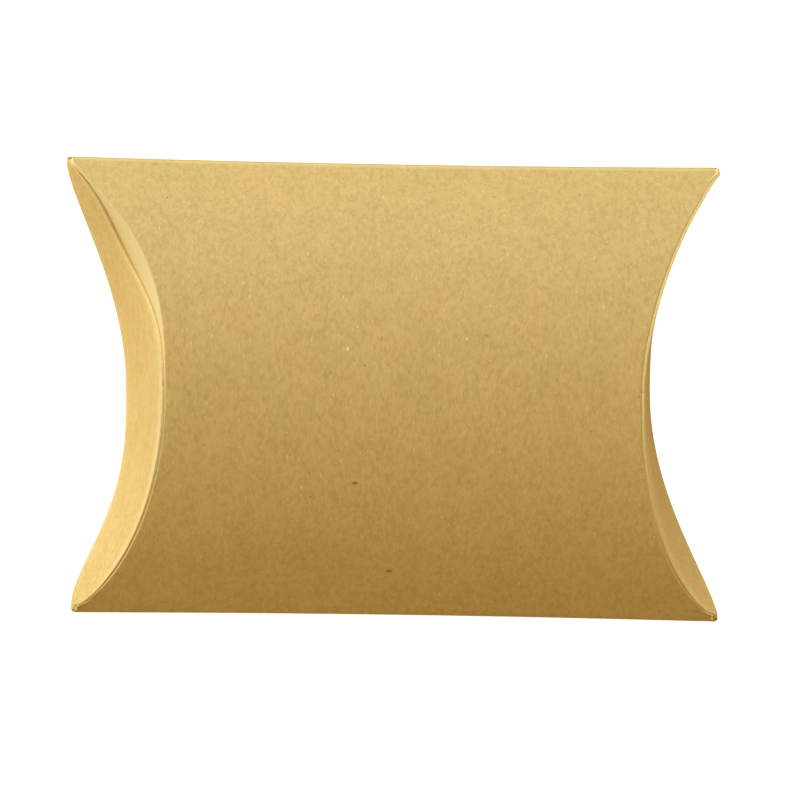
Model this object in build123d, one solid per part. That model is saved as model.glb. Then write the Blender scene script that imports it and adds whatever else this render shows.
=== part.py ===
"""Pillow box of plain kraft card, closed and lying on its back panel.

One scored card blank makes the whole box: two bowed panels joined along a fold on
the -Y side, a glue tab on the +Y side stuck inside the front panel, and two curved
flaps at each end. X runs along the box, Y across it and Z up out of the front panel.
The origin is the middle of the underside, where the bowed back panel rests.
"""
from build123d import *
from math import atan, degrees, sqrt
import os

# Overall size, in millimetres
box_length = 90.7           # along X, from corner tip to corner tip
box_chord = 63.5            # along Y, between the two long edges before their tips are rounded
box_thickness = 20.3        # along Z, over both panels at the middle

# Card and glue
card = 0.4                  # thickness of the kraft card
glue_film = 0.1             # dried glue between the tab and the front panel
tip_radius = 0.4            # outer rounding of the two long edges

# Curved creases at the ends, in plan
front_sag = 12.4             # how far the front panel's end is drawn in at its middle
back_sag = 8.95              # how far the back panel's end is drawn in at its middle
front_fullness_share = 0.77  # exponent of the front crease, below 1 is square-shouldered
back_fullness_share = 1.35   # exponent of the back crease, above 1 is pointed
crease_station_shares = [-1, -0.97, -0.9, -0.8, -0.65, -0.45, -0.22, 0, 0.22, 0.45, 0.65, 0.8, 0.9, 0.97, 1]
flap_station_shares = crease_station_shares[1:-1]

# Long fold, seam fold, tab and glue line
fold_strip = 1.8            # width of the strip that turns round each long edge
tab_width = 12.0            # from the long edge to the tab's inner edge
tab_outer_inset = 4.0       # each end of the tab stands in from the corner tip here, at the long edge
tab_inner_inset = 12.0      # and here, at the tab's inner edge
glue_start = 3.0            # from the long edge to the glue line
glue_width = 7.0
glue_end_margin = 2.0       # each end of the glue line stands in from the tab's end

# Flaps
score_gap = 0.2              # between a flap and the end of the panel that carries it
flap_gap = 0.2               # between the two flaps of one end
free_edge_drop = 0.4         # the outer flap's free edge lies this far under the front panel's face
flap_tip_gap = 2.1           # each flap stops this far short of the long edges
inner_depth_share = 0.6      # depth of the inner flap over the depth of the end opening
lean_limit_share = 0.92      # nearer the long edges than this, a flap leans no more
root_rise_share = 1.2        # height of a panel's inner edge over its crease, in card thicknesses

# Worked out from the sizes above
half_length = box_length / 2
half_chord = box_chord / 2
half_thickness = box_thickness / 2
bow_radius = (half_chord ** 2 + half_thickness ** 2) / (2 * half_thickness)
bow_centre = bow_radius - half_thickness
stretch = 2 * box_thickness  # overrun of the cutting prisms in Z

section_plane = Plane.YZ.offset(-half_length)


def front_disc(inset):
    """Disc under the front panel's bow, drawn in the section plane."""
    return section_plane * Pos(0, -bow_centre) * Circle(bow_radius - inset)


def back_disc(inset):
    """Disc above the back panel's bow, drawn in the section plane."""
    return section_plane * Pos(0, bow_centre) * Circle(bow_radius - inset)


def band(y_from, y_to):
    """Upright band between two places across the box, in the section plane."""
    middle = (y_from + y_to) / 2
    return section_plane * Pos(middle, 0) * Rectangle(y_to - y_from, stretch)


def lens_section():
    """Outline of the closed box seen from its end, with both long edges rounded."""
    lens = front_disc(0) & back_disc(0)
    return fillet(lens.vertices(), tip_radius)


def along_box(section):
    """Prism of a section over the whole length of the box."""
    return extrude(section, amount=box_length, dir=(1, 0, 0))


def bow_height(y):
    """Height of the front panel's outer face over the middle plane."""
    return sqrt(max(bow_radius ** 2 - y ** 2, 0)) - bow_centre


def crease_depth(share, sag, fullness):
    """How far a crease is drawn in from the corner tips at one place across the box."""
    return sag * (1 - share ** 2) ** fullness


def crease_skew(share, sag, fullness):
    """Length of a step along X that measures one unit square to the crease."""
    slope = 2 * share * fullness * crease_depth(share, sag, fullness - 1) / half_chord
    return sqrt(1 + slope ** 2)


def front_crease(share):
    return crease_depth(share, front_sag, front_fullness_share)


def back_crease(share):
    return crease_depth(share, back_sag, back_fullness_share)


def front_skew(share):
    return crease_skew(share, front_sag, front_fullness_share)


def back_skew(share):
    return crease_skew(share, back_sag, back_fullness_share)


def flap_lean(share):
    """Slope of a flap along X against Z, on its straight way from one crease to the other."""
    held = max(-lean_limit_share, min(lean_limit_share, share))
    root = back_crease(held) - score_gap * back_skew(held)
    top = front_crease(held) - (score_gap + card + flap_gap) * front_skew(held)
    return (top - root) / (2 * bow_height(held * half_chord))


def outer_flap_faces(share):
    """Depths of the outer flap's outer and inner face where it crosses the middle plane."""
    rise = bow_height(share * half_chord) - root_rise_share * card
    inner = back_crease(share) - score_gap * back_skew(share) + flap_lean(share) * rise
    return inner - card * back_skew(share), inner


def inner_flap_faces(share):
    """Depths of the inner flap's outer and inner face where it crosses the middle plane."""
    drop = bow_height(share * half_chord)
    inner = front_crease(share) - score_gap * front_skew(share) - flap_lean(share) * drop
    return inner - card * front_skew(share), inner


def ring_face(right, left):
    """Face between two curves across the box, both given from one long edge to the other."""
    steps = [y for x, y in right]
    places = [(y - steps[0]) / (steps[-1] - steps[0]) for y in steps]
    edges = [
        Edge.make_spline([Vector(*point) for point in right], parameters=places),
        Line(right[-1], left[-1]),
        Edge.make_spline([Vector(*point) for point in left], parameters=places),
        Line(left[0], right[0]),
    ]
    return make_face(edges)


def panel_plan(depth_at):
    """Plan of a panel, straight along both long edges and curved at both ends."""
    right = [(half_length - depth_at(share), share * half_chord) for share in crease_station_shares]
    left = [(-x, y) for x, y in right]
    return ring_face(right, left)


def tab_plan(width_from, width_to, end_margin):
    """Upright prism over a strip beside the +Y edge, with slanted ends."""
    slope = (tab_inner_inset - tab_outer_inset) / tab_width
    reach_from = half_length - tab_outer_inset - slope * width_from - end_margin
    reach_to = half_length - tab_outer_inset - slope * width_to - end_margin
    face = make_face(
        Polyline(
            (reach_from, half_chord - width_from),
            (-reach_from, half_chord - width_from),
            (-reach_to, half_chord - width_to),
            (reach_to, half_chord - width_to),
            close=True,
        )
    )
    return extrude(face, amount=stretch, both=True)


def flap_sheet(faces_at):
    """Bent sheet of card at the +X end, ruled upwards across both panels."""
    low = flap_ring(faces_at, -half_thickness)
    high = flap_ring(faces_at, half_thickness)
    return loft([low, high], ruled=True)


def flap_ring(faces_at, height):
    """Level cut through a flap's sheet, at a height over the middle plane."""
    outer = []
    inner = []
    for share in flap_station_shares:
        outer_depth, inner_depth = faces_at(share)
        further = flap_lean(share) * height
        outer.append((half_length - outer_depth - further, share * half_chord))
        inner.append((half_length - inner_depth - further, share * half_chord))
    return Pos(0, 0, height) * ring_face(outer, inner)


def flap_window(top_section):
    """Prism that trims a flap between its two edges and short of the long edges."""
    reach = half_chord - flap_tip_gap
    return along_box(top_section & band(-reach, reach))


def front_panel():
    section = (lens_section() - front_disc(card)) & band(fold_strip - half_chord, half_chord)
    return along_box(section) & extrude(panel_plan(front_crease), amount=stretch, both=True)


def back_panel():
    reach = half_chord - fold_strip
    section = (lens_section() - back_disc(card)) & band(-reach, reach)
    return along_box(section) & extrude(panel_plan(back_crease), amount=stretch, both=True)


def long_fold():
    """Strip of card that turns round the -Y edge from one panel to the other."""
    hollow = front_disc(card) & back_disc(card)
    section = (lens_section() - hollow) & band(-half_chord, fold_strip - half_chord)
    return split_by_creases(section)


def seam_fold():
    """Strip of card that turns round the +Y edge from the back panel to the glue tab."""
    layer = lens_section() & front_disc(card + glue_film)
    hollow = front_disc(2 * card + glue_film) & back_disc(card)
    section = (layer - hollow) & band(half_chord - fold_strip, half_chord)
    return split_by_creases(section)


def split_by_creases(section):
    """Prism of a fold's section, ended by the front crease above and the back crease below."""
    prism = along_box(section)
    upper = prism & extrude(panel_plan(front_crease), amount=stretch)
    lower = prism & extrude(panel_plan(back_crease), amount=-stretch)
    return upper + lower


def glue_tab():
    layer = front_disc(card + glue_film) - front_disc(2 * card + glue_film)
    section = layer & back_disc(card) & band(half_chord - tab_width, half_chord - fold_strip)
    return along_box(section) & tab_plan(0, tab_width, 0)


def glue_line():
    layer = front_disc(card) - front_disc(card + glue_film)
    section = layer & back_disc(card) & band(half_chord - glue_start - glue_width, half_chord - glue_start)
    return along_box(section) & tab_plan(glue_start, glue_start + glue_width, glue_end_margin)


def outer_flap():
    """Flap on the back crease, standing up over the end with its free edge at the front crease."""
    opening = front_disc(free_edge_drop) & back_disc(0)
    return flap_sheet(outer_flap_faces) & flap_window(opening)


def inner_flap():
    """Shorter flap on the front crease, hanging down behind the outer flap."""
    edge_drop = (2 * inner_depth_share - 1) * half_thickness
    edge_radius = (half_chord ** 2 + edge_drop ** 2) / (2 * edge_drop)
    above_free_edge = section_plane * Pos(0, edge_radius - edge_drop) * Circle(edge_radius)
    opening = front_disc(0) & above_free_edge
    return flap_sheet(inner_flap_faces) & flap_window(opening)


def write_node(name, shape):
    """Stands the shape on the resting face and writes it as one file."""
    placed = Pos(0, 0, half_thickness) * shape
    solids = placed.solids()
    print(f"{name}: {len(solids)} solid(s), volume {sum(solid.volume for solid in solids):.2f} mm3")
    export_step(placed, f"parts/{name}.step")


def main():
    os.makedirs("parts", exist_ok=True)
    write_node("front_panel", front_panel())
    write_node("back_panel", back_panel())
    write_node("long_fold", long_fold())
    write_node("seam_fold", seam_fold())
    write_node("glue_tab", glue_tab())
    write_node("glue_line", glue_line())
    outer = outer_flap()
    inner = inner_flap()
    write_node("right_outer_flap", outer)
    write_node("right_inner_flap", inner)
    write_node("left_outer_flap", mirror(outer, about=Plane.YZ))
    write_node("left_inner_flap", mirror(inner, about=Plane.YZ))
    outer_root = outer_flap_faces(0)[0] - flap_lean(0) * half_thickness
    inner_root = inner_flap_faces(0)[0] + flap_lean(0) * half_thickness
    print(f"flap lean at the middle {degrees(atan(flap_lean(0))):.2f} degrees")
    print(f"back hinge line at x = {half_length - outer_root:.3f}, z = 0")
    print(f"front hinge line at x = {half_length - inner_root:.3f}, z = {box_thickness:.3f}")


main()
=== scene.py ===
# %% [markdown]
# # A kraft pillow box, dressed over its CAD frame
# A pillow box is one piece of scored card. Two panels bow apart, and curved flaps fold
# in at both ends and hold them open. The CAD model gives the frame and its hinges. This
# lesson gives that frame the uneven creases, cut edges and fibres of a real card box.
# The first cell loads the frame. Nothing in it is moved: new pieces stand in its place.

# %% Load the frame
from math import cos, degrees, exp, pi, radians, sin, sqrt

import bmesh
import bpy
from mathutils import Matrix, Vector, noise
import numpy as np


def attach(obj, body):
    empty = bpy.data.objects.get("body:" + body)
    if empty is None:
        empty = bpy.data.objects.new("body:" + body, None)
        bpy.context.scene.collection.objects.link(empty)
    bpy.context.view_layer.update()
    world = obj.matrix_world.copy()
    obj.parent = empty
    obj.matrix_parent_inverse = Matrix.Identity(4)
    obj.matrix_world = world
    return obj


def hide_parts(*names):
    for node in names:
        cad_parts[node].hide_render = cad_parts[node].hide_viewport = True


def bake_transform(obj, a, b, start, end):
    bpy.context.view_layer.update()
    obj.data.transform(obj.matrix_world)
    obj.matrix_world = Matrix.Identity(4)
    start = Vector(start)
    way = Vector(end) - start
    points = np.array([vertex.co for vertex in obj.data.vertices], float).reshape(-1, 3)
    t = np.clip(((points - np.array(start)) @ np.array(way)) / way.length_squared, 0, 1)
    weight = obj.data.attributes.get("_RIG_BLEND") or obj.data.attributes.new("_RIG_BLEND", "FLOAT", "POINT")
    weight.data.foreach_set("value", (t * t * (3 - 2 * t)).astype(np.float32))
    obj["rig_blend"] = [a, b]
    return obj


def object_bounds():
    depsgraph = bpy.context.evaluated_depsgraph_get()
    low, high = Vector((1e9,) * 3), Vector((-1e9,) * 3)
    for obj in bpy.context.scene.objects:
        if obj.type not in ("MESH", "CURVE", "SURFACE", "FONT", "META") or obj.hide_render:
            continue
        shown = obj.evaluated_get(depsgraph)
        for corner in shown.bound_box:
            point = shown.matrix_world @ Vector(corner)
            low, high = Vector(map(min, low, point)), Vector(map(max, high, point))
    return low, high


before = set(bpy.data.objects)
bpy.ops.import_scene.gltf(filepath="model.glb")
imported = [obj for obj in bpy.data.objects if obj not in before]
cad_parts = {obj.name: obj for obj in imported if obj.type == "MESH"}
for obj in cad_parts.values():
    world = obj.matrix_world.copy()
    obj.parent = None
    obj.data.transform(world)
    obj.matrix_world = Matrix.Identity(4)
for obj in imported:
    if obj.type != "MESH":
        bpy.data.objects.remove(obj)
cad_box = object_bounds()
print("CAD box, in metres:", [[round(value, 5) for value in corner] for corner in cad_box])

# %% [markdown]
# ## The shape of the bowed card
# Both panels are bent to the same round bow, so across the box one circle describes
# each of them. Lengths are worked out in millimetres, from the middle plane between the
# panels, and become metres only when a point goes into a mesh. The circle could be
# fitted to the mesh of the frame, but its width and height give it more plainly.

# %% Bow of the panels
millimetre = 0.001
half_thickness = round(cad_box[1][2] / millimetre / 2, 2)   # from the middle plane to the top
half_chord = 31.75          # from the centre line to where the two bows would meet
bow_radius = round((half_chord ** 2 + half_thickness ** 2) / (2 * half_thickness), 2)
bow_centre = bow_radius - half_thickness
edge_reach = 31.07          # from the centre line to either long edge, once it is rounded
card = 0.4                  # thickness of the card
glue_film = 0.1
waist = 0.994               # width over the nominal width, at the middle of the box
splay = 0.0105              # how much more it is at the corners
corner_x = 45.0


def drawn_in(x):
    """Width of the box at one place along it, over its nominal width."""
    return waist + splay * (x / corner_x) ** 2


def bow(y, inset=0.0):
    """Height over the middle plane of the front panel's outer face, or of a layer under it."""
    return sqrt((bow_radius - inset) ** 2 - y ** 2) - bow_centre


print(f"bow: radius {bow_radius} mm, {bow(0):.2f} mm high, {bow(edge_reach):.2f} mm at the long edge")

# %% [markdown]
# ## The four creases
# Seen from above, each panel ends in a crease that is drawn in towards the middle. On a
# hand-folded box no two creases are alike: the front ones are square-shouldered, the
# back ones pointed, and the left end is a little shorter on the fold side. A spline
# through measured points could hold such a curve. A formula with a depth and two
# exponents for each half is smoother, and one number changes one thing.

# %% Crease curves
crease_reach = 29.9         # beyond this, the four corner tips are cut square
creases = {
    # tip at the seam, tip at the fold and depth in mm, then the exponents that make it
    # square and pointed on the seam half, and the same two on the fold half
    ("left", "front"): (-44.7, -43.3, 11.75, 3.05, 1.07, 2.08, 0.64),
    ("left", "back"): (-45.3, -43.8, 8.52, 1.98, 1.36, 2.75, 1.64),
    ("right", "front"): (44.3, 44.5, 11.4, 1.75, 0.85, 2.24, 0.63),
    ("right", "back"): (44.2, 45.3, 8.27, 2.6, 1.1, 2.0, 1.34),
}
outward = {"left": -1, "right": 1}


def crease_x(end, panel, y):
    """Place of a crease along the box, at a distance y across it."""
    seam_tip, fold_tip, depth, seam_square, seam_point, fold_square, fold_point = creases[end, panel]
    share = max(-1.0, min(1.0, y / crease_reach))
    straight = (seam_tip + fold_tip) / 2 + share * (seam_tip - fold_tip) / 2
    square, point = (seam_square, seam_point) if share > 0 else (fold_square, fold_point)
    return straight - outward[end] * depth * (1 - abs(share) ** square) ** point


def crease_points(end, y):
    """The front and the back crease at one place across the box."""
    front = Vector((crease_x(end, "front", y), y, bow(y)))
    back = Vector((crease_x(end, "back", y), y, -bow(y)))
    return front, back


for end in ("left", "right"):
    front, back = crease_points(end, 0)
    print(f"{end} end, middle of the creases in mm: front {front.x:.2f}, back {back.x:.2f}")

# %% [markdown]
# ## A helper that lays a sheet of card
# Every piece is a thin sheet, so one helper makes them all. It adds a grid, opens it in
# edit mode and carries each grid point to its place, and then the Solidify modifier
# gives the sheet its thickness on the inner side. Bend tools could curl a flat sheet,
# but its ends would not meet the flaps along the same crease. Faces on an edge that a
# die has cut are marked for a second finish, and those on a crease are not.

# %% Sheet helper
face_finish = 0             # material slot of the card's faces
edge_finish = 1             # and of its cut edges


def select_nothing():
    bpy.ops.object.select_all(action="DESELECT")


def card_sheet(name, across, along, place, thickness=card):
    """Grid of across by along cells whose points go where place(column, row) puts them.

    place gives a point in millimetres from the middle plane, how worn the card is there
    and how much highlight is painted on it, and 1 where a die has cut it.
    """
    select_nothing()
    bpy.ops.mesh.primitive_grid_add(x_subdivisions=across, y_subdivisions=along, size=2.0)
    sheet = bpy.context.object
    sheet.name = name
    sheet.data.name = name
    bpy.ops.object.mode_set(mode="EDIT")
    shape = bmesh.from_edit_mesh(sheet.data)
    wear_and_highlight_layer = shape.verts.layers.float.new("wear_and_highlight")
    edge_layer = shape.verts.layers.float.new("cut")
    for vert in shape.verts:
        column = round((vert.co.x + 1) / 2 * across)
        row = round((vert.co.y + 1) / 2 * along)
        point, wear_and_highlight, cut = place(column, row)
        x, y, z = point
        vert.co = Vector((x, y * drawn_in(x), z + half_thickness)) * millimetre
        vert[wear_and_highlight_layer] = wear_and_highlight
        vert[edge_layer] = cut
    bmesh.update_edit_mesh(sheet.data)
    bpy.ops.object.mode_set(mode="OBJECT")
    while len(sheet.data.materials) <= edge_finish:
        sheet.data.materials.append(None)       # both slots are filled once the finishes exist
    wall = sheet.modifiers.new("card thickness", "SOLIDIFY")
    wall.thickness = thickness * millimetre
    wall.offset = -1.0
    wall.use_even_offset = True
    wall.use_quality_normals = True
    wall.material_offset_rim = edge_finish
    bpy.ops.object.modifier_apply(modifier=wall.name)
    is_cut = sheet.data.attributes["cut"].data
    for face in sheet.data.polygons:
        if not all(is_cut[corner].value > 0.5 for corner in face.vertices):
            face.material_index = face_finish
    return sheet


# %% Softened and smooth edges
cut_softness = 0.07
sharp_corner = radians(50)
smooth_below = radians(40)


def soften_cut_edges(sheet):
    """Rounds the edges that a cutting die left, and leaves those that join another piece."""
    bpy.context.view_layer.objects.active = sheet
    bpy.ops.object.mode_set(mode="EDIT")
    bpy.ops.mesh.select_all(action="DESELECT")
    bpy.ops.mesh.select_mode(type="EDGE")
    shape = bmesh.from_edit_mesh(sheet.data)
    edge_layer = shape.verts.layers.float["cut"]
    for edge in shape.edges:
        on_cut = all(vert[edge_layer] > 0.5 for vert in edge.verts)
        if on_cut and len(edge.link_faces) == 2 and edge.calc_face_angle(0) > sharp_corner:
            edge.select_set(True)
    bmesh.update_edit_mesh(sheet.data)
    bpy.ops.mesh.bevel(offset=cut_softness * millimetre, segments=2, affect="EDGES")
    bpy.ops.object.mode_set(mode="OBJECT")


def finish_sheet(sheet):
    """Smooths the sheet and says how big it is."""
    select_nothing()
    sheet.select_set(True)
    bpy.context.view_layer.objects.active = sheet
    bpy.ops.object.shade_smooth_by_angle(angle=smooth_below)
    print(f"{sheet.name}: {len(sheet.data.polygons)} faces, size in mm",
          [round(value / millimetre, 2) for value in sheet.dimensions])


print(f"cut edges are rounded over {cut_softness} mm")

# %% [markdown]
# ## Stations across and along
# The blank runs round the box as one band: glue tab, seam fold, back panel, long fold,
# front panel. Each piece takes its rows from that band, and neighbours share the row
# where they meet, so that no line shows between them. Rows and columns stand closer
# together where the card turns.

# %% Rows round the box
fold_line = 29.3            # where the panels give way to the strips round the long edges
panel_steps = 64
edge_steps = 6
edge_inset = 0.9            # the round of a long edge is centred where bows this far in meet
edge_round = edge_reach - sqrt((bow_radius - edge_inset) ** 2 - bow_centre ** 2)
panel_rows = [fold_line * (2 * step / panel_steps - 1) for step in range(panel_steps + 1)]
last_crease_row = 30.6      # beyond it the card only turns round the edge
edge_width = last_crease_row - fold_line
edge_rows = [fold_line + edge_width * step / edge_steps for step in range(edge_steps + 1)]
print(f"rows: {len(panel_rows)} on a panel and {len(edge_rows)} beside each long edge")
print(f"long edges rounded to {edge_round:.2f} mm")

# %% Rows round a long edge
turn_steps = 12
clear_of_turn = 0.02        # a row that is nearer than this to the turn is left out


def edge_turn(inset, roundness):
    """Rows that come along a layer of the front, turn round a long edge and go on along the back.

    Each row is y, z and the share in which its end follows the back crease. y is positive.
    """
    inner = bow_radius - inset - roundness
    outer = bow_radius - roundness
    drop = (outer ** 2 - inner ** 2) / (4 * bow_centre)
    centre = Vector((sqrt(outer ** 2 - (drop + bow_centre) ** 2), -drop))
    front_spoke = (centre - Vector((0, -bow_centre))).normalized()
    back_spoke = (centre - Vector((0, bow_centre))).normalized()
    first = centre + front_spoke * roundness
    last = centre + back_spoke * roundness
    rows = []
    for y in [row for row in edge_rows if row < first.x - clear_of_turn]:
        rows.append((y, bow(y, inset), 0.0))
    for step in range(turn_steps + 1):
        share = step / turn_steps
        spoke = front_spoke.slerp(back_spoke, share)
        point = centre + spoke * roundness
        rows.append((point.x, point.y, share))
    for y in reversed([row for row in edge_rows if row < last.x - clear_of_turn]):
        rows.append((y, -bow(y), 1.0))
    turn = degrees(front_spoke.angle(back_spoke))
    print(f"edge turn: {len(rows)} rows, outermost {centre.x + roundness:.2f} mm, {turn:.0f} degrees")
    return rows


def other_side(rows):
    """The same rows at the -Y edge, in the order in which the band goes round."""
    return [(-y, z, back_share) for y, z, back_share in reversed(rows)]


# %% [markdown]
# ## Rounded lips at the creases
# A score doesn't give a knife edge: the card rolls over it. Each panel row therefore
# ends in a small curve that leaves along the panel and arrives along the flap. The flap
# starts exactly there, so panel and flap read as one sheet. A bevel could round a sharp
# edge afterwards, but it would also open the joint between the two pieces.

# %% Lips and panel rows
lip_size = 0.2              # from the crease to where its curve begins and ends
low_flap_share = 0.35       # where a flap is low, the lip takes this share of half its height
lip_shares = [0.0, 0.25, 0.5, 0.75, 1.0]
near_end = [0.0, 0.25, 0.6, 1.1, 1.8]   # columns beside a crease, in mm from its lip
middle_columns = 84


def lip_reach(half_height):
    """Size of the lip where the flap has this half height."""
    return min(lip_size, low_flap_share * half_height)


def lip_of(end, y, z, back_share):
    """Corner of the crease, the size of its lip, and the direction in which the flap leaves."""
    x = (1 - back_share) * crease_x(end, "front", y) + back_share * crease_x(end, "back", y)
    corner = Vector((x, y, z))
    y_in = max(-last_crease_row, min(last_crease_row, y))
    front, back = crease_points(end, y_in)
    towards = (front + back) / 2 - corner
    return corner, lip_reach(towards.length), towards.normalized()


def lip_points(lip, end, shares):
    """Points of a lip and the wear and painted highlight at each, as a curve drawn towards its corner."""
    corner, size, away = lip
    start = corner - Vector((outward[end] * size, 0, 0))
    finish = corner + away * size
    # the pale rises from the panel side to the flap side: partly wear at the score, partly painted highlight
    # on the rounded crease
    return [(start * (1 - t) ** 2 + corner * 2 * t * (1 - t) + finish * t ** 2, t) for t in shares]


print("columns in a row:", 2 * len(lip_shares) + 2 * (len(near_end) - 1) + middle_columns - 1)

# %% [markdown]
# ## Card that is not quite true
# No sheet of card bows perfectly, and a perfect one looks like plastic. Each row is
# therefore let down by a slow and a quick noise, less and less towards the creases and
# the long edges, where a fold holds the card. A Displace modifier with a fading vertex
# group could do it, but a row already knows how near each of its points is to a crease.

# %% Creased rows
slow_dent = 0.09            # depth of the wide dents, and of the small ones on top of them
quick_dent = 0.02
dent_level = 0.75           # keeps the dents from standing proud
held_by_crease = 4          # the card is held over this distance from a crease
held_by_edge = 3            # and over this one from a long edge
turn_wear = 0.1             # paler where the card turns round a long edge
frayed_wear = 0.6           # and paler still beside a cut


def settle(x, y, z):
    """How far the card has sunk in at a place. The divisors are the dents' lengths in mm."""
    slow = noise.noise(Vector((x / 21, y / 26, z / 9 + 3.7)))
    quick = noise.noise(Vector((x / 7 + 11, y / 9, z / 5)))
    return slow_dent * (slow + dent_level) + quick_dent * (quick + dent_level)


def creased_row(y, z, back_share):
    """Points of one row from the left flap to the right flap, with the wear and painted highlight at each.
    """
    left = lip_of("left", y, z, back_share)
    right = lip_of("right", y, z, back_share)
    x_left = left[0].x + left[1]
    x_right = right[0].x - right[1]
    span = x_right - x_left - 2 * near_end[-1]
    places = [x_left + step for step in near_end[1:]]
    places += [x_left + near_end[-1] + span * step / middle_columns for step in range(1, middle_columns)]
    places += [x_right - step for step in reversed(near_end[1:])]
    normal = Vector((0, y, z + (bow_centre if z > 0 else -bow_centre))).normalized()
    held = min(1.0, (edge_reach - abs(y)) / held_by_edge)
    points = lip_points(left, "left", reversed(lip_shares))
    for x in places:
        reach = min(x - x_left, x_right - x)
        sunk = settle(x, y, z) * min(1.0, reach / held_by_crease) * held
        points.append((Vector((x, y, z)) - normal * sunk, 0.0))
    return points + lip_points(right, "right", lip_shares)


def wear_of_turn(back_share):
    """Wear of a row that turns round a long edge, and none for a row on a panel."""
    return 0.0 if back_share in (0.0, 1.0) else turn_wear


def creased_piece(name, rows, cut_row=None):
    """Sheet of card made from rows that run from flap to flap."""
    table = [creased_row(*row) for row in rows]

    def place(column, row):
        point, wear_and_highlight = table[row][column]
        frayed = frayed_wear if cut_row and row >= cut_row - 1 else 0.0
        return point, max(wear_and_highlight, wear_of_turn(rows[row][2]), frayed), 1.0 if row == cut_row else 0.0

    return card_sheet(name, len(table[0]) - 1, len(rows) - 1, place)


# %% [markdown]
# ## Back panel, long fold and front panel
# These three follow each other round the box. The back panel is the one that the box
# lies on. The long fold is the scored edge on the near side. The front panel ends at
# the far edge in a die-cut edge, because that is where the blank is joined.

# %% Back panel
back_rows = [(-y, -bow(y), 1.0) for y in panel_rows]
back_panel_card = creased_piece("back_panel_card", back_rows)
finish_sheet(back_panel_card)
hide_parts("back_panel")
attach(back_panel_card, "sleeve")

# %% Long fold
long_fold_card = creased_piece("long_fold_card", other_side(edge_turn(0.0, edge_round)))
finish_sheet(long_fold_card)
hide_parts("long_fold")
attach(long_fold_card, "sleeve")

# %% Front panel
front_cut_y = 30.8
front_rows = [(y, bow(y), 0.0) for y in panel_rows + edge_rows[1:] + [front_cut_y]]
front_panel_card = creased_piece("front_panel_card", front_rows, cut_row=len(front_rows) - 1)
soften_cut_edges(front_panel_card)
finish_sheet(front_panel_card)
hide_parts("front_panel")
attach(front_panel_card, "sleeve")

# %% [markdown]
# ## Seam fold, glue tab and glue
# On the far side the back panel turns up and carries on as a tab under the front panel.
# The tab's slanted ends keep it out of the curved creases. The glue between tab and
# panel is a thin uneven ribbon, and a little of it shows past the tab. They are seen
# only when a flap is open, but then they tell how the box is held together.

# %% Seam fold
under_front = card + glue_film
seam_round = 0.42
seam_tuck = 0.9             # the layer under the front panel stops short of the creases


def seam_row(y, z, back_share):
    """A creased row that is drawn in at both ends where it lies under the front panel."""
    points = creased_row(y, z, back_share)
    if back_share < 1.0:
        tuck = seam_tuck * (1 - back_share) ** 2
        left = points[0][0].x
        right = points[-1][0].x
        middle = (left + right) / 2
        keep = 1 - tuck / (right - middle)
        for point, wear_and_highlight in points:
            point.x = middle + (point.x - middle) * keep
    return points


seam_rows = edge_turn(under_front, seam_round)
seam_table = [seam_row(*row) for row in seam_rows]


def seam_place(column, row):
    point, wear_and_highlight = seam_table[row][column]
    return point, max(wear_and_highlight, wear_of_turn(seam_rows[row][2])), 0.0


seam_fold_card = card_sheet("seam_fold_card", len(seam_table[0]) - 1, len(seam_rows) - 1, seam_place)
finish_sheet(seam_fold_card)
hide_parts("seam_fold")
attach(seam_fold_card, "sleeve")

# %% Glue tab
tab_inner_y = 19.4
tab_long_reach = 41.3       # half length of the tab at the fold
tab_short_reach = 33.3      # and at its free edge
tab_sag = 0.05              # its free edge hangs down in slow waves
tab_columns = 60
tab_rows = 18


def tab_place(column, row):
    y = tab_inner_y + (fold_line - tab_inner_y) * row / tab_rows
    reach = tab_short_reach + (tab_long_reach - tab_short_reach) * row / tab_rows
    x = reach * (2 * column / tab_columns - 1)
    sag = tab_sag * (1 - row / tab_rows) * (1 + sin(x / 6.5))
    cut = row == 0 or column in (0, tab_columns)
    return Vector((x, y, bow(y, under_front) - sag)), 0.0, 1.0 if cut else 0.0


glue_tab_card = card_sheet("glue_tab_card", tab_columns, tab_rows, tab_place)
soften_cut_edges(glue_tab_card)
finish_sheet(glue_tab_card)
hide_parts("glue_tab")
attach(glue_tab_card, "sleeve")

# %% Glue ribbon
glue_from = 20.6
glue_to = 28.3
glue_short_reach = 31.5     # half length of the ribbon at its inner side
glue_long_reach = 37.0      # and beside the fold
glue_thickness = 0.08
glue_clearance = 0.01       # between the ribbon and the front panel
glue_unevenness = 0.5
glue_columns = 90
glue_rows = 6


def glue_place(column, row):
    share = 2 * column / glue_columns - 1
    uneven = glue_unevenness * noise.noise(Vector((share * 9, row * 0.7, 5.1)))
    y = glue_from + (glue_to - glue_from) * row / glue_rows + uneven
    wider = (glue_long_reach - glue_short_reach) * (y - glue_from) / (glue_to - glue_from)
    return Vector(((glue_short_reach + wider) * share, y, bow(y, card + glue_clearance))), 0.0, 0.0


glue_ribbon = card_sheet("glue_ribbon", glue_columns, glue_rows, glue_place, glue_thickness)
finish_sheet(glue_ribbon)
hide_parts("glue_line")
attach(glue_ribbon, "sleeve")

# %% [markdown]
# ## End flaps
# Each end is closed by two flaps. The inner flap hangs from the front crease and the
# outer flap stands up from the back crease and covers it. Their free edges are die-cut.
# At the left end the outer flap's edge has slipped down on the seam side, so a strip of the
# inner flap shows, painted pale as a highlight. A flap is laid as straight lines from one crease
# towards the other, because that is how bent card runs.

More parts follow.
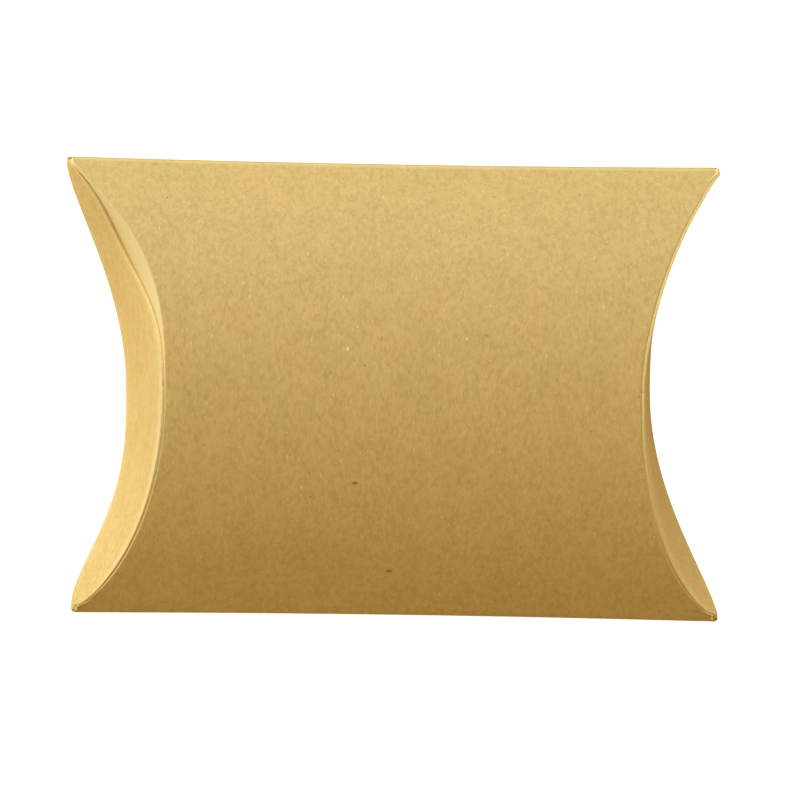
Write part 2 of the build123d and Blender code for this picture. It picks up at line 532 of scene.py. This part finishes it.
# %% Flap surfaces
flap_room = card            # the outer flap stands its own thickness outside the inner one
low_room_share = 0.12       # or this share of the half height, where the box is low
inner_room = 1.1            # the inner flap stands this much further in, in thicknesses
inner_ease = 0.12           # and gets there over this share of its way
inner_reach_at_edge = 0.5   # share of the way to the back crease that the inner flap hangs
inner_reach_extra = 0.1     # and how much more at the middle
slip_depth = 0.36           # share of its height by which the left outer flap has slipped,
slip_place = 0.62           # where, as a share of the way from the middle to the seam,
slip_spread = 0.295         # and over how wide a stretch


def plan_outward(end, y):
    """Level direction that points out of the box, square to the back crease."""
    step = 0.1
    slope = (crease_x(end, "back", y + step) - crease_x(end, "back", y - step)) / (2 * step)
    return Vector((1, -slope, 0)).normalized() * outward[end]


def stand_off(y, share):
    """How far the outer flap's face lies outside the straight line between the creases."""
    room = min(flap_room, low_room_share * bow(y))
    return room * sin(pi / 2 * share)


def flap_start(height):
    """Share of a flap's height that its lip takes."""
    return lip_reach(height / 2) / height


def outer_flap_height(end, y):
    """Share of the way from the back crease to the front crease that the outer flap covers."""
    slipped = slip_depth * exp(-((y / edge_reach - slip_place) / slip_spread) ** 2)
    return 1.0 - slipped if end == "left" else 1.0


def outer_flap_point(end, y, climb):
    """Point of the outer flap's outer face. climb is 0 at its crease and 1 at its free edge."""
    front, back = crease_points(end, y)
    start = flap_start((front - back).length)
    share = start + (outer_flap_height(end, y) - start) * climb
    extra = stand_off(y, (share - start) / (1 - start))
    return back.lerp(front, share) + plan_outward(end, y) * extra


def inner_flap_point(end, y, climb):
    """Point of the inner flap's outer face. climb is 0 at its crease and 1 at its free edge."""
    front, back = crease_points(end, y)
    start = flap_start((front - back).length)
    depth = inner_reach_at_edge + inner_reach_extra * (1 - (y / edge_reach) ** 2)
    share = start + (depth - start) * climb
    clear = inner_room * flap_room - stand_off(y, 1 - share)
    eased = min(1.0, (share - start) / inner_ease)
    return front.lerp(back, share) - plan_outward(end, y) * clear * eased


slipped_height = outer_flap_height("left", slip_place * edge_reach)
print(f"the left outer flap covers {slipped_height:.2f} of the end's height where it has slipped most")

# %% [markdown]
# Each flap is laid in two halves, on the seam side and on the fold side of the box's
# centre line. When a flap opens, its middle swings on the hinge while its two corners
# stay in the corners of the box, and each half is told so by a line that runs from its
# own stretch of crease towards the free edge. The bend is spread over most of the flap,
# as in real card, so an opened flap curls flat onto the table and doesn't dip under it.

# %% Flap halves
flap_steps = 26
step_bunching = 1.3         # above 1, the steps stand closer at the crease
outer_crease_wear_and_highlight = 2.5     # reach in steps of the pale, partly wear and partly painted highlight: at an outer flap's crease,
inner_flap_highlight_reach = 17      # down an inner flap, which is painted pale as a highlight over most of its height,
free_edge_highlight_reach = {"left": 1.5, "right": 4.0}    # and at an outer flap's free edge, where it is painted highlight
# strength of the painted highlight at an outer flap's free edge
free_edge_highlight = 0.75
crease_rows = [-row for row in reversed(edge_rows[1:])] + panel_rows + edge_rows[1:]


def flap_wear_and_highlight(end, layer, row):
    """Wear and painted highlight of a flap, row by row from its crease to its free edge."""
    if layer == "inner":
        # an inner flap is painted pale as a highlight down most of its height
        return exp(-((row / inner_flap_highlight_reach) ** 4))
    # painted highlight along an outer flap's free edge
    at_free_edge = exp(-((flap_steps - row) / free_edge_highlight_reach[end]) ** 2)
    return min(1.0, exp(-row / outer_crease_wear_and_highlight) + free_edge_highlight * at_free_edge)


def flap_half(end, layer, side, point_at):
    """Half of a flap, between the centre line and one long edge."""
    rows = [y for y in crease_rows if (y >= 0 if side == "seam" else y <= 0)]
    forwards = (end == "right") == (layer == "outer")
    ordered = rows if forwards else list(reversed(rows))
    climbs = [(step / flap_steps) ** step_bunching for step in range(flap_steps + 1)]

    def place(column, row):
        point = point_at(end, ordered[column], climbs[row])
        return point, flap_wear_and_highlight(end, layer, row), 1.0 if row == flap_steps else 0.0

    half = card_sheet(f"{end}_{layer}_flap_{side}_side", len(ordered) - 1, flap_steps, place)
    soften_cut_edges(half)
    finish_sheet(half)
    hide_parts(f"{end}_{layer}_flap")
    return half


# %% Bend of the flap halves
bend_reach = {"outer": 17.0, "inner": 10.0}     # how far up a flap its bend is spread


def bend_with_hinge(half, end, layer, side):
    """The half follows the sleeve along its crease and the flap's own body beyond the bend."""
    up = 1 if layer == "outer" else -1
    level = 0.0 if layer == "outer" else 2 * half_thickness
    inwards = -1 if side == "seam" else 1
    square = Vector((0, inwards * half_thickness, up * edge_reach)).normalized()
    start = Vector((0, 0, level)) * millimetre
    finish = start + square * bend_reach[layer] * millimetre
    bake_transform(half, "sleeve", f"{end}_{layer}", start=start, end=finish)


flap_halves = []
for end in ("left", "right"):
    for layer, point_at in (("outer", outer_flap_point), ("inner", inner_flap_point)):
        for side in ("seam", "fold"):
            half = flap_half(end, layer, side, point_at)
            bend_with_hinge(half, end, layer, side)
            flap_halves.append(half)

# %% [markdown]
# ## Kraft card
# Unbleached card is a felt of wood fibres: short strokes that mostly run one way, soft
# blotches where the pulp is thicker, a few dark bits of bark and a few pale fibres. A
# picture of card could be wrapped round the box, but a pattern built from noise has no
# seams and stays sharp when seen close. It reads object coordinates in millimetres.
# Only the four clearest bits are placed one by one, where they lie on the real box.

# %% Material helpers


class NodeBench:
    """Short calls for building one material's nodes."""

    def __init__(self, name):
        self.material = bpy.data.materials.new(name)
        self.material.use_nodes = True
        self.nodes = self.material.node_tree.nodes
        self.links = self.material.node_tree.links
        self.nodes.clear()
        self.output = self.nodes.new("ShaderNodeOutputMaterial")
        self.shader = self.nodes.new("ShaderNodeBsdfPrincipled")
        self.links.new(self.shader.outputs["BSDF"], self.output.inputs["Surface"])

    def join(self, source, socket):
        """Links a node's output to the socket, or sets the socket to a plain value."""
        if isinstance(source, (int, float, tuple)):
            socket.default_value = source
        else:
            self.links.new(source, socket)

    def place(self, scale, turn=(0, 0, 0)):
        """Object coordinates, with scale steps of the pattern to the millimetre along each axis."""
        source = self.nodes.new("ShaderNodeTexCoord")
        mapping = self.nodes.new("ShaderNodeMapping")
        mapping.inputs["Scale"].default_value = [value / millimetre for value in scale]
        mapping.inputs["Rotation"].default_value = turn
        self.links.new(source.outputs["Object"], mapping.inputs["Vector"])
        return mapping.outputs["Vector"]

    def noise(self, where, detail=2.0, roughness=0.5):
        node = self.nodes.new("ShaderNodeTexNoise")
        node.inputs["Scale"].default_value = 1.0
        node.inputs["Detail"].default_value = detail
        node.inputs["Roughness"].default_value = roughness
        self.links.new(where, node.inputs["Vector"])
        return node.outputs["Fac"]

    def ramp(self, source, low, high, low_value=0.0, high_value=1.0):
        """Smooth step from low_value to high_value as source goes from low to high."""
        node = self.nodes.new("ShaderNodeMapRange")
        node.interpolation_type = "SMOOTHSTEP"
        node.inputs["From Min"].default_value = low
        node.inputs["From Max"].default_value = high
        node.inputs["To Min"].default_value = low_value
        node.inputs["To Max"].default_value = high_value
        self.links.new(source, node.inputs["Value"])
        return node.outputs["Result"]

    def math(self, operation, first, second):
        node = self.nodes.new("ShaderNodeMath")
        node.operation = operation
        self.join(first, node.inputs[0])
        self.join(second, node.inputs[1])
        return node.outputs["Value"]

    def scaled(self, source, factor):
        return self.math("MULTIPLY", source, factor)

    def mix(self, share, first, second, blend="MIX"):
        node = self.nodes.new("ShaderNodeMix")
        node.data_type = "RGBA"
        node.blend_type = blend
        node.clamp_factor = True
        self.join(share, node.inputs[0])
        self.join(first, node.inputs[6])
        self.join(second, node.inputs[7])
        return node.outputs[2]

    def tint(self, colour, source, first, second):
        """Colour multiplied by a tint that goes from first to second as a noise rises."""
        return self.mix(1.0, colour, self.mix(self.ramp(source, 0.35, 0.65), first, second), "MULTIPLY")

    def specks(self, scale, size, share, turn=(0, 0, 0)):
        """1 in scattered flecks. size is in pattern steps, and share of the cells hold one."""
        cells = self.nodes.new("ShaderNodeTexVoronoi")
        cells.inputs["Scale"].default_value = 1.0
        self.links.new(self.place(scale, turn), cells.inputs["Vector"])
        near = self.ramp(cells.outputs["Distance"], size, size * 0.45)
        split = self.nodes.new("ShaderNodeSeparateColor")
        self.links.new(cells.outputs["Color"], split.inputs["Color"])
        chosen = self.ramp(split.outputs["Red"], 1 - share, 1 - share * 0.9)
        return self.math("MULTIPLY", near, chosen)

    def spot(self, centre, reach):
        """1 in an oval round one place on the box, fading to 0 at its rim, all in millimetres."""
        where = self.nodes.new("ShaderNodeTexCoord").outputs["Object"]
        for operation, values in (("SUBTRACT", centre), ("DIVIDE", reach)):
            step = self.nodes.new("ShaderNodeVectorMath")
            step.operation = operation
            step.inputs[1].default_value = [value * millimetre for value in values]
            self.links.new(where, step.inputs[0])
            where = step.outputs["Vector"]
        distance = self.nodes.new("ShaderNodeVectorMath")
        distance.operation = "LENGTH"
        self.links.new(where, distance.inputs[0])
        return self.ramp(distance.outputs["Value"], 1.2, 0.5)

    def value_of(self, attribute):
        node = self.nodes.new("ShaderNodeAttribute")
        node.attribute_name = attribute
        return node.outputs["Fac"]

    def bump(self, height, strength, depth):
        """Relief from a height. depth is in millimetres."""
        node = self.nodes.new("ShaderNodeBump")
        node.inputs["Strength"].default_value = strength
        node.inputs["Distance"].default_value = depth * millimetre
        self.join(height, node.inputs["Height"])
        self.links.new(node.outputs["Normal"], self.shader.inputs["Normal"])


# %% Colours of the card
kraft_body = (0.560, 0.370, 0.134, 1)
kraft_shade = (0.455, 0.290, 0.097, 1)
kraft_light = (0.680, 0.480, 0.205, 1)
# pale of worn card, and also the painted highlight on crease lips, inner flaps and free edges
kraft_wear_and_highlight = (0.65, 0.495, 0.27, 1)
bark = (0.24, 0.14, 0.045, 1)
pale_fibre = (0.80, 0.66, 0.40, 1)
cloud_tints = ((0.99, 1.004, 0.995, 1), (1.01, 0.994, 1.0, 1))
pulp_tints = ((0.98, 0.975, 0.965, 1), (1.018, 1.02, 1.03, 1))
scattered_flecks = [
    # pattern steps to the millimetre, size, share, turn in degrees, strength, colour
    ((1.1, 0.45, 1.1), 0.15, 0.2, -6, 0.45, pale_fibre),
    ((0.55, 0.42, 0.55), 0.10, 0.14, 20, 0.6, bark),
    ((0.95, 0.40, 0.95), 0.13, 0.3, 12, 0.4, bark),
]
placed_bits = [
    # place on the front panel and reach in mm, strength, colour
    ((-5.9, -12.9, 18.8), (0.50, 0.28, 0.4), 0.85, bark),
    ((-0.6, -24.9, 14.3), (0.55, 0.30, 0.4), 0.85, bark),
    ((-7.3, 5.4, 20.0), (0.22, 0.28, 0.4), 0.8, pale_fibre),
    ((9.0, 7.0, 19.8), (0.18, 0.22, 0.4), 0.8, pale_fibre),
]
print("kinds of scattered fleck:", len(scattered_flecks), "and bits placed by hand:", len(placed_bits))

# %% Kraft face


def add_flecks(bench, colour):
    """The colour with all flecks on it, the scattered ones first."""
    for scale, size, share, turn, strength, tone in scattered_flecks:
        fleck = bench.specks(scale, size, share, (0, 0, radians(turn)))
        colour = bench.mix(bench.scaled(fleck, strength), colour, tone)
    for centre, reach, strength, tone in placed_bits:
        colour = bench.mix(bench.scaled(bench.spot(centre, reach), strength), colour, tone)
    return colour


def kraft_material(name):
    bench = NodeBench(name)
    clouds = bench.noise(bench.place((0.20, 0.13, 0.20)), 2.0)
    pulp = bench.noise(bench.place((0.30, 0.21, 0.30), (0, 0, radians(50))), 2.0)
    blotch = bench.noise(bench.place((1.5, 0.9, 1.5)), 3.0, 0.6)
    fibre = bench.noise(bench.place((5.0, 1.2, 5.0), (0, 0, radians(4))), 3.0, 0.65)
    cross = bench.noise(bench.place((2.4, 4.6, 2.4), (0, 0, radians(35))), 2.0, 0.6)
    colour = bench.mix(bench.ramp(blotch, 0.3, 0.62, 0.35, 1.0), kraft_shade, kraft_body)
    colour = bench.mix(bench.ramp(fibre, 0.48, 0.8, 0.0, 0.85), colour, kraft_light)
    colour = bench.mix(bench.ramp(cross, 0.56, 0.8, 0.0, 0.5), colour, kraft_shade)
    colour = bench.tint(colour, clouds, *cloud_tints)
    colour = bench.tint(colour, pulp, *pulp_tints)
    colour = add_flecks(bench, colour)
    # paler for wear at long-edge turns and beside cuts; at the creases partly wear and partly painted
    # highlight; on the inner flaps and free edges painted highlight
    colour = bench.mix(bench.scaled(bench.value_of("wear_and_highlight"), 0.85), colour, kraft_wear_and_highlight)
    bench.join(colour, bench.shader.inputs["Base Color"])
    bench.join(bench.ramp(fibre, 0.3, 0.8, 0.66, 0.56), bench.shader.inputs["Roughness"])
    bench.shader.inputs["Specular IOR Level"].default_value = 0.3
    bench.bump(bench.math("ADD", fibre, bench.scaled(blotch, 0.6)), 0.3, 0.02)
    print(f"{name}: {len(bench.nodes)} nodes")
    return bench.material


kraft_face = kraft_material("kraft_face")

# %% [markdown]
# ## Cut edge and glue
# Where the die has cut, the card shows its inside: paler, and in thin plies. Dried
# white glue is cloudy and a little glossy. Both are small, so a few nodes are enough.

# %% Cut edge
ply_dark = (0.64, 0.44, 0.17, 1)
ply_light = (0.74, 0.54, 0.24, 1)
ply_pale = (0.80, 0.61, 0.30, 1)


def cut_edge_material():
    bench = NodeBench("kraft_cut_edge")
    plies = bench.noise(bench.place((9.0, 1.3, 14.0)), 2.0, 0.7)
    grain = bench.noise(bench.place((4.0, 3.0, 4.0)), 2.0)
    colour = bench.mix(bench.ramp(plies, 0.35, 0.65), ply_dark, ply_light)
    colour = bench.mix(bench.ramp(grain, 0.5, 0.75, 0.0, 0.5), colour, ply_pale)
    bench.join(colour, bench.shader.inputs["Base Color"])
    bench.shader.inputs["Roughness"].default_value = 0.9
    bench.shader.inputs["Specular IOR Level"].default_value = 0.2
    bench.bump(plies, 0.5, 0.05)
    print(f"kraft_cut_edge: {len(bench.nodes)} nodes")
    return bench.material


kraft_cut_edge = cut_edge_material()

# %% Dried glue
glue_clear = (0.72, 0.66, 0.5, 1)
glue_cloudy = (0.84, 0.81, 0.72, 1)


def glue_material():
    bench = NodeBench("dried_glue")
    cloud = bench.noise(bench.place((0.7, 0.7, 0.7)), 2.0)
    colour = bench.mix(bench.ramp(cloud, 0.35, 0.7), glue_clear, glue_cloudy)
    bench.join(colour, bench.shader.inputs["Base Color"])
    bench.join(bench.ramp(cloud, 0.3, 0.7, 0.28, 0.45), bench.shader.inputs["Roughness"])
    bench.bump(cloud, 0.3, 0.1)
    print(f"dried_glue: {len(bench.nodes)} nodes")
    return bench.material


dried_glue = glue_material()

# %% Give the pieces their finishes
sleeve_pieces = [back_panel_card, long_fold_card, front_panel_card, seam_fold_card, glue_tab_card]
card_pieces = sleeve_pieces + flap_halves
for piece in card_pieces:
    piece.data.materials[face_finish] = kraft_face
    piece.data.materials[edge_finish] = kraft_cut_edge
glue_ribbon.data.materials[face_finish] = dried_glue
glue_ribbon.data.materials[edge_finish] = dried_glue
finishes = [face.material_index for piece in card_pieces for face in piece.data.polygons]
print("card pieces:", len(card_pieces), "with", finishes.count(edge_finish), "faces on cut edges")

# %% [markdown]
# ## Floor
# The box lies on a plain white sheet. To the camera the sheet adds a little light of
# its own, so that it reads as clean white, and it still shows the box's soft shadow.

# %% Floor
floor_size = 6.0            # in metres, so that it fills every view
floor_grey = (0.8, 0.8, 0.8, 1)
glow_colour = (0.90, 0.92, 1.0, 1)      # a little blue, against the warm sky
glow_strength = 0.91
select_nothing()
bpy.ops.mesh.primitive_plane_add(size=floor_size, location=(0, 0, 0))
floor = bpy.context.object
floor.name = "floor"
floor_look = bpy.data.materials.new("white_sheet")
floor_look.use_nodes = True
floor_nodes = floor_look.node_tree.nodes
floor_links = floor_look.node_tree.links
floor_shader = floor_nodes["Principled BSDF"]
floor_shader.inputs["Base Color"].default_value = floor_grey
floor_shader.inputs["Roughness"].default_value = 0.9
floor_shader.inputs["Specular IOR Level"].default_value = 0.1
glow = floor_nodes.new("ShaderNodeEmission")
glow.inputs["Color"].default_value = glow_colour
ray = floor_nodes.new("ShaderNodeLightPath")
seen = floor_nodes.new("ShaderNodeMath")
seen.operation = "MULTIPLY"
seen.inputs[1].default_value = glow_strength
both = floor_nodes.new("ShaderNodeAddShader")
floor_links.new(ray.outputs["Is Camera Ray"], seen.inputs[0])
floor_links.new(seen.outputs["Value"], glow.inputs["Strength"])
floor_links.new(floor_shader.outputs["BSDF"], both.inputs[0])
floor_links.new(glow.outputs["Emission"], both.inputs[1])
floor_links.new(both.outputs["Shader"], floor_nodes["Material Output"].inputs["Surface"])
floor.data.materials.append(floor_look)
print(f"{floor.name}: {floor_size} m wide, glows at {glow_strength} to the camera")

# %% [markdown]
# ## Light
# The light is soft. A cool lamp beyond the seam side makes the bow go from light to dark
# towards the fold, and a low one on the left makes the left flaps glow. A weaker low one
# lights the right flaps, and a dim warm sky fills the rest. The low lamps are wide
# strips, because small ones would draw hard shadows beside the edges of the card.

# %% Lamps
lamp_distance = 0.9
lamps = {
    # direction from the box, width and height in metres, power in watts, colour
    "key": ((-0.15, 0.75, 0.66), 0.6, 0.6, 9.35, (0.74, 0.93, 1.0)),
    "left": ((-1.0, 0.05, 0.11), 1.3, 0.22, 7.95, (0.94, 1.0, 0.80)),
    "right": ((1.0, -0.10, 0.14), 1.0, 0.22, 2.0, (1.0, 0.80, 0.15)),
}
box_middle = Vector((0, 0, half_thickness * millimetre))
for name, (direction, width, height, watts, colour) in lamps.items():
    light = bpy.data.lights.new(name, "AREA")
    light.shape = "RECTANGLE"
    light.size = width
    light.size_y = height
    light.energy = watts
    light.color = colour
    lamp = bpy.data.objects.new(name, light)
    bpy.context.scene.collection.objects.link(lamp)
    away = Vector(direction).normalized()
    lamp.location = box_middle + away * lamp_distance
    lamp.rotation_euler = away.to_track_quat("Z", "Y").to_euler()
print("lamps:", ", ".join(lamps))

# %% Sky
sky_colour = (1.0, 0.62, 0.10, 1)
sky_strength = 0.38
white = (1, 1, 1, 1)
world = bpy.data.worlds.new("plain_sky")
bpy.context.scene.world = world
world.use_nodes = True
sky_nodes = world.node_tree.nodes
sky_links = world.node_tree.links
sky_nodes.clear()
sky_out = sky_nodes.new("ShaderNodeOutputWorld")
sky_light = sky_nodes.new("ShaderNodeBackground")
sky_light.inputs["Color"].default_value = sky_colour
sky_light.inputs["Strength"].default_value = sky_strength
sky_white = sky_nodes.new("ShaderNodeBackground")
sky_white.inputs["Color"].default_value = white
sky_white.inputs["Strength"].default_value = 1.0
sky_ray = sky_nodes.new("ShaderNodeLightPath")
sky_mix = sky_nodes.new("ShaderNodeMixShader")
sky_links.new(sky_ray.outputs["Is Camera Ray"], sky_mix.inputs[0])
sky_links.new(sky_light.outputs["Background"], sky_mix.inputs[1])
sky_links.new(sky_white.outputs["Background"], sky_mix.inputs[2])
sky_links.new(sky_mix.outputs["Shader"], sky_out.inputs["Surface"])
print(f"sky: {sky_strength} on the box, white to the camera")

# %% [markdown]
# ## Camera
# The photograph looks straight down on the front panel with a long lens, from a little
# to the left, so the left end shows and the right end nearly hides. The frame is square
# and the box is turned about one degree in it.

# %% Camera
camera_distance = 2.0
camera_to_left = radians(5.5)
box_turn = radians(0.9)
film_width = 36.0
picture_width = 790         # in pixels
pixel = 0.1369              # in mm at the middle of the box
frame_width = picture_width * pixel * millimetre
aim = Vector((0.2, -0.8, half_thickness)) * millimetre      # what the middle of the picture shows
across_view = Vector((cos(camera_to_left), 0, sin(camera_to_left)))
along_box_side = Vector((0, 1, 0))
view_right = across_view * cos(box_turn) + along_box_side * sin(box_turn)
view_up = along_box_side * cos(box_turn) - across_view * sin(box_turn)
view_back = Vector((-sin(camera_to_left), 0, cos(camera_to_left)))
lens = bpy.data.cameras.new("camera")
lens.sensor_width = film_width
lens.lens = film_width * camera_distance / frame_width
lens.clip_end = 10 * camera_distance
camera = bpy.data.objects.new("camera", lens)
bpy.context.scene.collection.objects.link(camera)
turn = Matrix((view_right, view_up, view_back)).transposed().to_4x4()
camera.matrix_world = Matrix.Translation(aim + view_back * camera_distance) @ turn
bpy.context.scene.camera = camera
bpy.context.scene.view_settings.view_transform = "Standard"
print(f"lens {lens.lens:.0f} mm, {camera_distance} m away")
